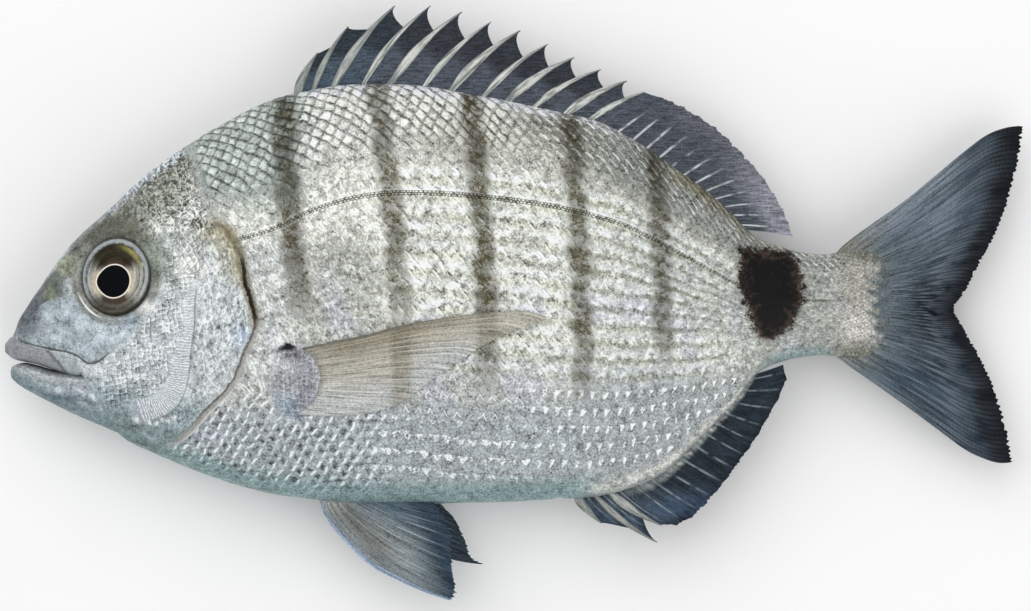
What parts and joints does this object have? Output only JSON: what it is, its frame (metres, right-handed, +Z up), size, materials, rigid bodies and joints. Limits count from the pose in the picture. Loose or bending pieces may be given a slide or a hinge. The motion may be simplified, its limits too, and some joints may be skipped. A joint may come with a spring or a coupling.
{
  "type": "whole raw fish",
  "caption": "Whole raw fish, deep-bodied and scaled, lying on its side with fins spread: a market or kitchen prop with a flat resting patch.",
  "frame": {"origin": "on the table, under the middle of the fish's overall length and depth", "axes": "+X from snout to tail, +Y from belly to back, +Z up from the table, with the left flank on top"},
  "size_m": [0.281, 0.164, 0.0366],
  "materials": {
    "skin": "wet, silvery scaled skin"
  },
  "bodies": {
    "root": {"fish": "skin"}
  },
  "joints": []
}
